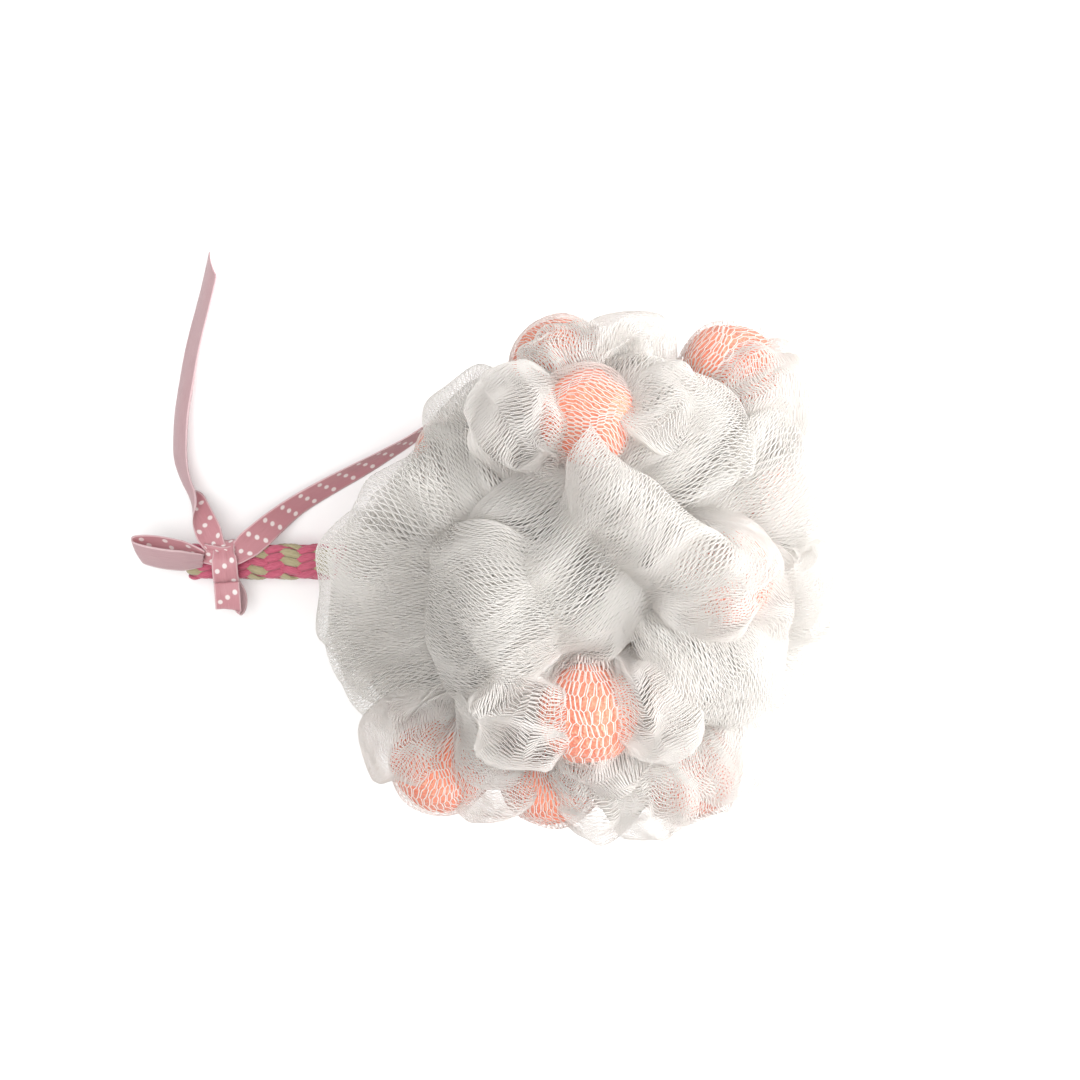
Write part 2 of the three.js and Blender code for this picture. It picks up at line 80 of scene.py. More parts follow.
def make_piece(name, points, faces, materials, uv=None, uv_name="OFBake", which=None):
    """A smooth mesh from points in millimetres and arrays of faces. uv is one pair for each point."""
    mesh = bpy.data.meshes.new(name)
    corners = np.concatenate([np.asarray(f).ravel() for f in faces]).astype(np.int32)
    sides = np.concatenate([np.full(len(f), np.asarray(f).shape[1]) for f in faces]).astype(np.int32)
    mesh.vertices.add(len(points))
    mesh.vertices.foreach_set("co", (np.asarray(points) * MM).astype(np.float32).ravel())
    mesh.loops.add(len(corners))
    mesh.loops.foreach_set("vertex_index", corners)
    mesh.polygons.add(len(sides))
    mesh.polygons.foreach_set("loop_start", (np.cumsum(sides) - sides).astype(np.int32))
    mesh.update(calc_edges=True)
    mesh.polygons.foreach_set("use_smooth", np.ones(len(sides), dtype=bool))
    if which is not None:
        mesh.polygons.foreach_set("material_index", np.asarray(which, dtype=np.int32))
    if uv is not None:
        layer = mesh.uv_layers.new(name=uv_name)
        layer.data.foreach_set("uv", np.asarray(uv, dtype=np.float32)[corners].ravel())
    for material in materials:
        mesh.materials.append(material)
    made = bpy.data.objects.new(name, mesh)
    bpy.context.scene.collection.objects.link(made)
    return made


class Socket:
    """One output of a shader node, so that shader sums read as plain expressions."""

    def __init__(self, tree, output):
        self.tree = tree
        self.output = output

    def add(self, kind, settings=None, sockets=None, result=0):
        """Any other node: its settings, its sockets by name or number, and which output to use."""
        node = self.tree.nodes.new(kind)
        for key, value in (settings or {}).items():
            setattr(node, key, value)
        for key, value in (sockets or {}).items():
            if isinstance(value, Socket):
                self.tree.links.new(value.output, node.inputs[key])
            else:
                node.inputs[key].default_value = value
        return Socket(self.tree, node.outputs[result])

    def math(self, operation, *values):
        return self.add("ShaderNodeMath", {"operation": operation}, dict(enumerate(values)))

    def __add__(self, other):
        return self.math("ADD", self, other)

    def __radd__(self, other):
        return self.math("ADD", other, self)

    def __sub__(self, other):
        return self.math("SUBTRACT", self, other)

    def __rsub__(self, other):
        return self.math("SUBTRACT", other, self)

    def __mul__(self, other):
        return self.math("MULTIPLY", self, other)

    def __rmul__(self, other):
        return self.math("MULTIPLY", other, self)

    def __truediv__(self, other):
        return self.math("DIVIDE", self, other)

    def __rtruediv__(self, other):
        return self.math("DIVIDE", other, self)

    def clip(self, low, high):
        """0 below low, 1 above high, and smooth between."""
        return self.add(
            "ShaderNodeMapRange",
            {"interpolation_type": "SMOOTHSTEP"},
            {"Value": self, "From Min": low, "From Max": high},
        )

    def blend(self, first, second):
        """The first colour where this is 0 and the second where it is 1."""
        return self.add(
            "ShaderNodeMix", {"data_type": "RGBA"}, {0: self, 6: first, 7: second}, result=2
        )

    def noise(self, scale, detail=2.0, roughness=0.5):
        return self.add(
            "ShaderNodeTexNoise",
            sockets={"Vector": self, "Scale": scale, "Detail": detail, "Roughness": roughness},
        )

    def bump(self, strength, distance):
        return self.add(
            "ShaderNodeBump", sockets={"Height": self, "Strength": strength, "Distance": distance}
        )


def new_material(name):
    """A bare material, its place socket in metres, and its surface shader."""
    material = bpy.data.materials.new(name)
    material.use_nodes = True
    tree = material.node_tree
    shader = tree.nodes["Principled BSDF"]
    place = Socket(tree, tree.nodes.new("ShaderNodeTexCoord").outputs["Object"])
    return material, place, shader


def feed(shader, **sockets):
    """Constants and sockets into a surface shader, by socket name with _ for a space."""
    tree = shader.id_data
    for key, value in sockets.items():
        target = shader.inputs[key.replace("_", " ")]
        if isinstance(value, Socket):
            tree.links.new(value.output, target)
        else:
            target.default_value = value


def netting_material(name, white, shade, glow):
    """Soft plastic netting: a faintly uneven white that lets some light through to the far side."""
    material, place, shader = new_material(name)
    tint = place.noise(90.0, 3.0).clip(0.3, 0.7).blend(white, shade)
    feed(shader, Base_Color=tint, Roughness=place.noise(400.0) * 0.2 + 0.35, IOR=1.45)
    far = place.add("ShaderNodeBsdfTranslucent", sockets={"Color": white})
    mixed = place.add("ShaderNodeMixShader", sockets={0: glow, 2: far})
    tree = material.node_tree
    tree.links.new(shader.outputs[0], mixed.output.node.inputs[1])
    tree.links.new(mixed.output, tree.nodes["Material Output"].inputs["Surface"])
    return material


netting = netting_material("netting", (0.985, 0.974, 0.958, 1), (0.955, 0.94, 0.92, 1), 0.65)
fist_faces = [grid_faces(FIST_ROWS, FIST_TURNS, close_columns=True), low_cap, high_cap]
core_gather = make_piece("netting_core", fist, fist_faces, [netting])
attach(core_gather, "pouf")
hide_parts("core_gather")

# The tie: two turns of soft white thread pulled into the waist of the gathered middle, with its ends
# crossed over in a hitch on the cord's side.
TIE_RING = 7.45
THREAD = 1.1


def sweep(path, side, half_width, half_height, sides):
    """An oval tube along a path. side is the way its width lies at each point of the path."""
    path = np.asarray(path, dtype=float)
    along = np.gradient(path, axis=0)
    along /= np.linalg.norm(along, axis=-1, keepdims=True)
    side = np.broadcast_to(side, path.shape)
    side = side - along * (side * along).sum(-1, keepdims=True)
    side = side / np.linalg.norm(side, axis=-1, keepdims=True)
    over = np.cross(along, side)
    angle = np.linspace(0, 2 * np.pi, sides, endpoint=False)[None, :, None]
    wide = np.broadcast_to(half_width, len(path))[:, None, None]
    high = np.broadcast_to(half_height, len(path))[:, None, None]
    rings = path[:, None] + np.cos(angle) * wide * side[:, None] + np.sin(angle) * high * over[:, None]
    tube = grid_faces(len(path), sides, close_columns=True)
    first = np.arange(sides)[None, ::-1]
    last = (len(path) - 1) * sides + np.arange(sides)[None, :]
    return rings.reshape(-1, 3), [tube, first, last]


def join(parts):
    """Several point and face sets as one."""
    points = []
    faces = []
    start = 0
    for part_points, part_faces in parts:
        points.append(part_points)
        faces += [np.asarray(f) + start for f in part_faces]
        start += len(part_points)
    return np.concatenate(points), faces


thread_material, place, shader = new_material("tie_thread")
fibre = place.noise(1500.0, 3.0)
feed(
    shader,
    Base_Color=fibre.blend((0.78, 0.76, 0.72, 1), (0.9, 0.88, 0.84, 1)),
    Roughness=0.8,
    Normal=fibre.bump(0.5, 0.0002),
)
turn = np.linspace(0, 4 * np.pi, 220)
wrap = np.stack([TIE_RING * np.cos(turn), TIE_RING * np.sin(turn), 0.14 * turn / np.pi * 4 - 0.56], axis=-1)
hitch_turn = np.linspace(-0.9, 0.9, 40)
hitch = np.stack(
    [
        -(TIE_RING + 0.55 + 0.3 * np.cos(hitch_turn * 2)),
        1.1 * np.sin(hitch_turn * 3),
        1.1 * hitch_turn,
    ],
    axis=-1,
)
tie_parts = [
    sweep(wrap + CORE, (0, 0, 1), THREAD / 2, THREAD / 2, 8),
    sweep(hitch + CORE, (1, 0, 0), THREAD / 2, THREAD / 2, 8),
]
tie_points, tie_faces = join(tie_parts)
core_tie = make_piece("core_tie_thread", tie_points, tie_faces, [thread_material])
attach(core_tie, "pouf")
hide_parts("core_tie")

# Foam lumps: balls of soft coral foam with open pores over the skin, none of them quite round. Each lies
# loose in its own pouch of netting, which holds it in place.
# A row gives azimuth and elevation from the core in degrees and the distance from it.
FOAM_PLACES = [
    (96, 5, 44),
    (88, 40, 41.5),
    (52, 6, 54),
    (-6, 38, 38),
    (-88, 38, 41.3),
    (-125, 4, 54.5),
    (-98, 3, 48),
    (-63, 4, 51),
    (22, -22, 46),
    (140, -28, 40),
    (92, -47, 43),
    (-62, -46, 43),
    (-128, -46, 44),
]
FOAM_RADIUS = 11.0
FOAM_SLACK = 0.35
rng = np.random.default_rng(7)


def heading(azimuth, elevation):
    a = math.radians(azimuth)
    e = math.radians(elevation)
    return np.array([math.cos(e) * math.cos(a), math.cos(e) * math.sin(a), math.sin(e)])


def ripples(count, longest, shortest, size):
    """A field of smooth waves in space, which moves any points put through it."""
    ways = rng.normal(size=(count, 3))
    ways /= np.linalg.norm(ways, axis=-1, keepdims=True)
    lengths = rng.uniform(shortest, longest, count)
    pushes = rng.normal(size=(count, 3)) * size / math.sqrt(count)
    starts = rng.uniform(0, 2 * np.pi, count)

    def move(points):
        phase = points @ (ways * (2 * np.pi / lengths)[:, None]).T + starts
        return np.sin(phase) @ pushes

    return move


foam_material, place, shader = new_material("coral_foam")
pores = place.add("ShaderNodeTexVoronoi", {"feature": "SMOOTH_F1"}, {"Vector": place, "Scale": 1300.0})
# Where the bump dips, between the pore cells, the foam is painted darker: painted shade in the hollows.
cells = pores.clip(0.1, 0.55)
mottle = place.noise(170.0, 4.0).clip(0.3, 0.7)
pore_shade = mottle.blend((0.76, 0.22, 0.14, 1), (0.82, 0.28, 0.18, 1))
pale = mottle.blend((0.86, 0.35, 0.24, 1), (0.9, 0.42, 0.3, 1))
feed(
    shader,
    Base_Color=cells.blend(pale, pore_shade),
    Roughness=0.95,
    Normal=(cells * -1.0 + place.noise(600.0, 3.0) * 0.5).bump(0.7, 0.0006),
    Sheen_Weight=0.25,
)
ball_rows = 48
ball_turns = 96
tilt = np.linspace(0, np.pi, ball_rows + 2)[1:-1, None]
spin = np.linspace(0, 2 * np.pi, ball_turns, endpoint=False)[None, :]
ball = np.stack(
    [np.sin(tilt) * np.cos(spin), np.sin(tilt) * np.sin(spin), np.cos(tilt) * np.ones_like(spin)], axis=-1
).reshape(-1, 3)
ball = np.concatenate([ball, [[0, 0, 1.0], [0, 0, -1.0]]])
top = ball_rows * ball_turns
edge = np.arange(ball_turns)
last = (ball_rows - 1) * ball_turns
ball_faces = [
    grid_faces(ball_rows, ball_turns, close_columns=True)[:, ::-1],
    np.stack([np.full(ball_turns, top), edge, (edge + 1) % ball_turns], axis=-1),
    np.stack([np.full(ball_turns, top + 1), last + (edge + 1) % ball_turns, last + edge], axis=-1),
]
for number, (azimuth, elevation, distance) in enumerate(FOAM_PLACES, 1):
    dents = ripples(10, 24.0, 9.0, 0.55)
    grain = ripples(16, 2.4, 1.1, 0.12)
    skin = ball * (FOAM_RADIUS - FOAM_SLACK)
    skin = skin + ball * dents(skin)[:, :1] + ball * grain(skin)[:, :1]
    middle = CORE + distance * heading(azimuth, elevation)
    lump = make_piece(f"foam_{number:02d}", skin + middle, ball_faces, [foam_material])
    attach(lump, "pouf")
    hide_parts(f"foam_lump_{number:02d}")

# Netting pouches: a round of netting stretched over each foam lump and gathered to a neck at the tie. The
# strands zigzag and are welded side by side where they meet, which leaves long open cells over the foam.
STRAND = 0.26
POUCH_STRAND = 0.3
POUCH_RADIUS = 11.75
POUCH_NECK = 1.9
NECK_START = 9.4
WELD = 0.5
POUCH_LEAST_COVER = 0.306
# The cells of each pouch: their turn in degrees from the level, their width and the length of a leg.
POUCH_CELLS = [
    (-30, 0.58, 1.5),
    (-8, 0.6, 1.5),
    (70, 0.85, 1.8),
    (20, 0.55, 1.3),
    (88, 0.9, 2.5),
    (-55, 0.7, 1.7),
    (-60, 0.62, 1.4),
    (40, 0.6, 1.3),
    (0, 0.7, 1.3),
    (30, 0.7, 1.3),
    (60, 0.7, 1.3),
    (90, 0.7, 1.3),
    (10, 0.7, 1.3),
]
# Loose folds that lap over the sides of a lump: the way round it in degrees from the level, how far the
# fold's middle lies from the lump's, and its radius.
LAP_CELL = 0.42
POUCH_LAPS = [
    [(165, 15, 11)],
    [(5, 15, 12), (185, 16, 12), (-80, 15, 11.5)],
    [(156, 8, 12.2), (165, 12, 11.5), (205, 12, 11)],
    [(30, 3, 12.6), (120, 5, 12.8), (250, 9, 12.5)],
    [(5, 14, 12), (180, 14, 12), (-75, 12, 12)],
    [(165, 9, 11)],
    [(20, 11, 12), (165, 13, 12)],
    [(90, 3, 12.6), (20, 9, 12), (160, 10, 12)],
    [],
    [],
    [],
    [],
    [],
]


def strand_tubes(path, beside, sheet_x, sheet_y, strand=STRAND):
    """Flat three-sided strands along rows of points. beside is the way across the sheet at each point."""
    along = np.gradient(path, axis=1)
    along /= np.linalg.norm(along, axis=-1, keepdims=True)
    beside = beside - along * (beside * along).sum(-1, keepdims=True)
    beside /= np.linalg.norm(beside, axis=-1, keepdims=True) + 1e-9
    over = np.cross(along, beside)
    angle = np.array([0.5, 7 / 6, 11 / 6]) * np.pi
    across = np.cos(angle)[None, None, :, None] * beside[:, :, None]
    upward = 0.5 * np.sin(angle)[None, None, :, None] * over[:, :, None]
    points = path[:, :, None] + 0.5 * strand * (across + upward)
    count, steps = path.shape[:2]
    one = grid_faces(steps, 3, close_columns=True)
    start = (np.arange(count) * steps * 3)[:, None, None]
    sides = (one[None] + start).reshape(-1, 4)
    first = start[:, 0] + np.array([[2, 1, 0]])
    last = start[:, 0] + (steps - 1) * 3 + np.array([[0, 1, 2]])
    flat_x = np.broadcast_to(sheet_x[:, :, None] + 0.5 * strand * np.cos(angle), points.shape[:3])
    flat_y = np.broadcast_to(sheet_y[:, :, None], points.shape[:3])
    flat = np.stack([flat_x, flat_y], axis=-1)
    return points.reshape(-1, 3), [sides, first, last], flat.reshape(-1, 2)


def netting_piece(name, parts, material):
    """One piece of netting from several runs of strands."""
    points, faces = join([part[:2] for part in parts])
    flat = np.concatenate([part[2] for part in parts])
    flat = (flat - flat.min(0)) / np.ptp(flat, axis=0)
    return make_piece(name, points, faces, [material], uv=flat)


def zigzag(count, steps, cell):
    """Sideways places of the strands of a flat sheet, where each swings from one neighbour to the other."""
    strand = np.arange(count)[:, None]
    step = np.arange(steps)[None, :]
    swing = np.where((strand + step) % 2 == 0, 0.5, -0.5)
    return (strand - (count - 1) / 2) * cell + swing * (cell - STRAND)


def side_ways(way):
    """The level way across a heading, and the way at right angles to both."""
    level = np.array([1.0, 0, 0]) if abs(way[2]) > 0.999 else np.cross((0, 0, 1.0), way)
    level /= np.linalg.norm(level)
    return level, np.cross(way, level)


def pouch_sheet(middle, bulb, turn, wrinkle):
    """Takes flat places on a round of netting to where they lie on the lump and its neck."""
    distance = np.linalg.norm(middle)
    outward = middle / distance
    level, upright = side_ways(outward)
    lean = math.asin((bulb - POUCH_NECK) / (distance - NECK_START))
    cap = bulb * (np.pi / 2 + lean)
    cone = (distance - NECK_START) * math.cos(lean)

    def lay(x, y):
        out = np.hypot(x, y)
        way = np.arctan2(y, x) + math.radians(turn - 90)
        polar = np.minimum(out / bulb, np.pi / 2 + lean)
        down = np.clip((out - cap) / cone, 0, 1)
        wide = bulb * np.sin(polar) * (1 - down) + POUCH_NECK * down
        tall = (distance + bulb * np.cos(polar)) * (1 - down) + NECK_START * down
        gather = np.clip((out / bulb - 1.4) / 1.2, 0, 1)
        pleat = 0.5 * np.cos(11 * way) + 0.4 * np.cos(17 * way + 1)
        wide = wide + gather * pleat * np.minimum(wide / 6, 1)
        spread = np.cos(way)[..., None] * level + np.sin(way)[..., None] * upright
        points = CORE + wide[..., None] * spread + tall[..., None] * outward
        return points + wrinkle(points.reshape(-1, 3)).reshape(points.shape)

    return lay, cap, cone


for number, (azimuth, elevation, distance) in enumerate(FOAM_PLACES, 1):
    lump = distance * heading(azimuth, elevation)
    level, upright = side_ways(heading(azimuth, elevation))
    cell_turn, cell_width, leg = POUCH_CELLS[number - 1]
    rounds = [(lump, POUCH_RADIUS, cell_turn, cell_width, POUCH_STRAND, 1.0, 0.3)]
    for turn, aside, bulb in POUCH_LAPS[number - 1]:
        a = math.radians(turn)
        middle = lump + aside * (math.cos(a) * level + math.sin(a) * upright)
        rounds.append((middle, bulb, turn, LAP_CELL, STRAND, 0.3, 1.1))
    parts = []
    flat_area = 0.0
    flat_length = 0.0
    cloth_area = 0.0
    for middle, bulb, turn, cell, thread, neck, wrinkle in rounds:
        lay, cap, cone = pouch_sheet(middle, bulb, turn, ripples(8, 20.0, 8.0, wrinkle))
        reach = cap + neck * cone
        count = int(2 * reach / cell)
        for strand in range(count):
            row = (strand - (count - 1) / 2) * cell
            half = math.sqrt(max(reach**2 - row**2, 0.0))
            if half < 6:
                continue
            y = np.cumsum(np.tile([WELD, leg], 2 * int(half / (WELD + leg))))
            y = y - y.mean()
            swing = np.where((strand + np.arange(len(y)) // 2) % 2 == 0, 0.5, -0.5)
            stray = 0.7 * np.sin(0.5 * y + 0.23 * row + number) + 0.6 * np.sin(0.6 * row + 0.3 * y - number)
            x = row + swing * (cell - thread) + stray
            path = lay(x[None], y[None])
            beside = lay(x[None] + 0.05, y[None]) - path
            parts.append(strand_tubes(path, beside, x[None], y[None] + flat_length + reach, thread))
        flat_area += 4 * reach**2
        flat_length += 2 * reach
        cloth_area += 4 * reach**2 * max(POUCH_LEAST_COVER, 0.75 * thread / cell)
    pouch = netting_piece(f"pouch_{number:02d}", parts, netting)
    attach(pouch, "pouf")
    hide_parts(f"net_pouch_{number:02d}")
    flat_area / flat_length * MM
    flat_length * MM
    cloth_area * MM**2

# Empty ruffles: the rest of the netting tube, thrown into folds that stand out from the tie. Each is a fan
# of netting that runs out, turns over at a soft rim and runs back, with more folds of the same tube inside.
# A row gives azimuth, elevation, reach, half width, half thickness, roll, how far the rim is bowed, how far
# its ends gape, how thin a lip it has, the width of its cells and how many folds lie inside one another. A
# ruffle whose ends do not gape at all is a tube with an open mouth, which its bow lifts.
RUFFLE_PLACES = [
    (22, 66, 53, 24, 10, -146, 9, 0.9, 0.5, 0.5, 3),
    (57, 34, 56, 17, 15, -19, 0, 1.0, 0.35, 0.52, 3),
    (78, 13, 59, 7, 5.5, 0, 12, 0.0, 0.0, 0.5, 3),
    (104, 24, 50, 5, 4, 0, 7, 0.0, 0.0, 0.55, 3),
    (123, 18, 52, 14, 11, -25, 0, 0.6, 0.4, 0.52, 3),
    (145, 27, 50, 14, 12, -18, 0, 0.6, 0.4, 0.52, 3),
    (167, 18, 53, 16, 12, -40, 0, 0.6, 0.4, 0.75, 3),
    (190, 10, 60, 18, 13, -27, 0, 0.6, 0.4, 0.5, 3),
    (209, 4, 60, 16, 12, -17, 0, 0.6, 0.4, 0.5, 3),
    (214, 47, 46, 22, 17, -35, 0, 0.7, 0.1, 0.5, 3),
    (176, 76, 39, 24, 20, 41, 0, 0.6, 0.0, 0.5, 3),
    (22, 16, 59, 17, 15, 30, 0, 0.5, 0.3, 0.52, 3),
    (-10, 4, 60, 17, 14, 60, 0, 0.5, 0.3, 0.52, 3),
    (-39, 31, 55, 18, 15, -38, 0, 0.6, 0.4, 0.52, 3),
    (-81, 12, 54, 15, 11, -15, 0, 0.8, 0.4, 0.85, 3),
    (-34, -6, 57, 15, 12, 0, 0, 0.4, 0.3, 0.52, 3),
    (-114, 14, 54, 18, 10, -65, 0, 0.7, 0.4, 0.5, 3),
    (0, -90, 49, 27, 24, 0, 0, 0.4, 0.0, 0.52, 2),
    (0, -40, 56, 21, 17, 0, 0, 0.4, 0.3, 0.52, 2),
    (58, -28, 57, 21, 16, 0, 0, 0.4, 0.3, 0.52, 2),
    (124, -50, 52, 19, 15, 0, 0, 0.4, 0.3, 0.52, 2),
    (207, -22, 57, 17, 13, 0, 0, 0.4, 0.3, 0.52, 2),
    (-100, -32, 55, 21, 16, 0, 0, 0.4, 0.3, 0.52, 2),
    (172, -12, 51, 14, 10, 0, 0, 0.4, 0.3, 0.52, 2),
]
RUFFLE_STEP = 1.4
RUFFLE_EASE = 1.15
RUFFLE_LEAST_COVER = 0.31
# The size of each fold beside the outermost: the two walls of the flattened tube, then the next fold in.
FOLD_SHARES = (1.0, 0.965, 0.91)


def ruffle_sheet(way, across, over, reach, half_width, half_thickness, bow, gape, lip):
    """Takes flat places on a fan of netting to where they lie on the fold."""
    share = 1 - np.linspace(0, 1, 240) ** 2
    past = np.clip((share - 0.6) / 0.4, 0, 1)
    rim = 1 + 0.2 * past**2 if gape == 0 else np.sqrt(1 - past**2)
    dome = np.where(share > 0.6, rim, 0.2 + 0.8 * np.sin(np.pi / 2 * share / 0.6))
    tip = np.clip((share - 0.94) / 0.06, 0, 1)
    flare = np.clip((0.8 - share) / 0.3, 0, 1)
    thin = 0.34 * np.sqrt(1 - tip**2) + 0.66 * flare**2 * (3 - 2 * flare)
    thin = np.minimum(thin, dome)
    out = NECK_START + (reach - NECK_START) * share
    sides = []
    for full in (dome, (1 - lip) * dome + lip * thin):
        thick = half_thickness * full
        run = np.concatenate([[0], np.cumsum(np.hypot(np.diff(out), np.diff(thick)))])
        sides.append((thick, run))
    (near_thick, near_run), (far_thick, far_run) = sides
    fan = half_width / reach * 1.1
    waves = rng.uniform(0, 2 * np.pi, 6)

    def lay(x, y):
        u = x / half_width
        t = np.where(y < 0, np.interp(-y, near_run, share), np.interp(y, far_run, share))
        h = np.where(y < 0, -np.interp(-y, near_run, near_thick), np.interp(y, far_run, far_thick))
        r = NECK_START + (reach - NECK_START) * t
        rim_wave = 1.2 * t**2 * np.sin(2.6 * u + waves[0]) + 0.5 * t**3 * np.sin(7 * u + waves[4])
        r = r * (1 - 0.1 * u**2 * t) + rim_wave
        h = h * (gape + (1 - gape) * np.sqrt(np.clip(1.04 - u**2, 0, 1)))
        loose = (1 - t) * np.minimum(t * 4, 1)
        pleat = 1.6 * np.sin(9 * u + waves[1] + np.sign(y)) + 1.2 * np.sin(15 * u + waves[2] * np.sign(y))
        h = h + loose * pleat
        lift = t**5 if gape == 0 else t**2 * u**2
        h = h + bow * lift + t**2 * (1.2 * np.sin(4.1 * u + waves[3]) + 0.4 * np.sin(9.5 * u + waves[5]))
        turn = fan * u
        spread = np.cos(turn)[..., None] * way + np.sin(turn)[..., None] * across
        points = CORE + r[..., None] * spread + h[..., None] * over
        return points + t[..., None] * crumple(points.reshape(-1, 3)).reshape(points.shape)

    return lay, -near_run[-1], far_run[-1]


crumple = ripples(14, 34.0, 9.0, 1.1)
for number, row in enumerate(RUFFLE_PLACES, 1):
    azimuth, elevation, reach, half_width, half_thickness, roll, bow, gape, lip, cell, folds = row
    way = heading(azimuth, elevation)
    level, upright = side_ways(way)
    across = math.cos(math.radians(roll)) * level + math.sin(math.radians(roll)) * upright
    over = np.cross(way, across)
    parts = []
    flat_area = 0.0
    flat_length = 0.0
    for fold in FOLD_SHARES[:folds]:
        wide = half_width * RUFFLE_EASE * fold**0.5
        lay, start, end = ruffle_sheet(
            way, across, over, reach * fold, wide, half_thickness * fold, bow * fold, gape, lip
        )
        count = int(2 * wide / cell)
        steps = int((end - start) / RUFFLE_STEP)
        x = zigzag(count, steps, cell)
        y = np.broadcast_to(np.linspace(start, end, steps)[None], x.shape)
        path = lay(x, y)
        beside = lay(x + 0.05, y) - path
        middle = np.searchsorted(y[0], 0) if gape == 0 else steps
        for run in (slice(0, middle), slice(middle, steps)):
            if path[:, run].size:
                parts.append(strand_tubes(path[:, run], beside[:, run], x[:, run], y[:, run] + flat_length))
        flat_area += 2 * wide * (end - start)
        flat_length += end - start
    ruffle = netting_piece(f"ruffle_{number:02d}", parts, netting)
    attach(ruffle, "pouf")
    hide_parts(f"net_ruffle_{number:02d}")
    2 * RUFFLE_EASE * half_width * MM
    flat_length * MM
    max(RUFFLE_LEAST_COVER, STRAND / cell) * flat_area * MM**2

# The braided cord: sixteen soft yarns, eight each way round, one over and one under, pulled flat. One length
# runs from the tie out under the ruffles, round the end of the hanging loop and back beneath itself.
CORD_HALF_WIDE = 3.4
CORD_HALF_HIGH = 1.22
CORD_PITCH = 62.0
CORD_STEP = 0.5
YARNS_EACH_WAY = 8
YARN_HALF_WIDTH = 1.02
YARN_HALF_HEIGHT = 0.5
YARN_RISE = 0.42


def smooth_path(points, step):
    """Places a step apart along a smooth curve through points, and its length."""
    points = np.asarray(points, dtype=float)
    ends = np.concatenate([[2 * points[0] - points[1]], points, [2 * points[-1] - points[-2]]])
    t = np.linspace(0, 1, 24, endpoint=False)[:, None]
    fine = []
    for a, b, c, d in zip(ends[:-3], ends[1:-2], ends[2:-1], ends[3:]):
        fine.append(b + 0.5 * t * (c - a + t * (2 * a - 5 * b + 4 * c - d + t * (3 * b - a - 3 * c + d))))
    fine = np.concatenate(fine + [points[-1:]])
    run = np.concatenate([[0], np.cumsum(np.linalg.norm(np.diff(fine[:, :3], axis=0), axis=-1))])
    even = np.linspace(0, run[-1], int(run[-1] / step) + 1)
    return np.stack([np.interp(even, run, column) for column in fine.T], axis=-1), run[-1]


def yarn_material(name, light, dark):
    """Soft matt yarn, with fine fibres lying along it in lighter and darker streaks."""
    material, place, shader = new_material(name)
    along = place.add("ShaderNodeUVMap", {"uv_map": "yarn"})
    stretched = place.add("ShaderNodeVectorMath", {"operation": "MULTIPLY"}, {0: along, 1: (0.6, 26.0, 1.0)})
    fibre = stretched.noise(1.0, 4.0, 0.6)
    feed(
        shader,
        Base_Color=fibre.clip(0.25, 0.75).blend(dark, light),
        Roughness=0.75,
        Sheen_Weight=0.3,
        Normal=fibre.bump(0.6, 0.0003),
    )
    return material


pink_yarn = yarn_material("pink_yarn", (0.62, 0.14, 0.22, 1), (0.43, 0.065, 0.12, 1))
olive_yarn = yarn_material("olive_yarn", (0.47, 0.42, 0.26, 1), (0.34, 0.29, 0.16, 1))
t = np.linspace(0, 1, 14)[:, None]
root_start = np.array([-7.09, 43.38])
root_bend = np.array([-28.0, 4.325])
root_end = np.array([-42.45, 4.325])
root = (1 - t) ** 2 * root_start + 2 * t * (1 - t) * root_bend + t**2 * root_end
advance = np.gradient(root, axis=0)
lift = np.stack([advance[:, 1], -advance[:, 0]], axis=-1)
lift *= 2.175 / np.linalg.norm(lift, axis=-1, keepdims=True)
free = [(-53, 7.0), (-64, 8.1), (-74, 7.8), (-80, 7.35), (-86, 7.35), (-89.4, 7.05), (-91, 5.175)]
free += [(-89.4, 3.3), (-86, 3.0), (-80, 3.0), (-71, 2.15), (-57, 2.15)]
flat_route = np.concatenate([root + lift, free, (root - lift)[::-1]])
cord_path, cord_length = smooth_path(np.insert(flat_route, 1, 0.0, axis=1), CORD_STEP)
cord_along = np.gradient(cord_path, axis=0)
cord_along /= np.linalg.norm(cord_along, axis=-1, keepdims=True)
level = np.array([0.0, 1.0, 0.0])
above = np.cross(cord_along, level)
narrow = np.interp(-cord_path[:, 0], [7, 44], [0.66, 1.0])
half_wide = CORD_HALF_WIDE * narrow
oval = np.linspace(0, 2 * np.pi, 721)
oval_steps = np.hypot(np.diff(CORD_HALF_WIDE * np.cos(oval)), np.diff(CORD_HALF_HIGH * np.sin(oval)))
girth = np.concatenate([[0], np.cumsum(oval_steps)])
turn_share = np.arange(len(cord_path)) * CORD_STEP / CORD_PITCH
parts = [sweep(cord_path, level, half_wide - 0.3, CORD_HALF_HIGH - 0.3, 10)]
which = [np.zeros(len(cord_path) * 10 - 10 + 2)]
marks = [np.zeros((len(cord_path) * 10, 2))]
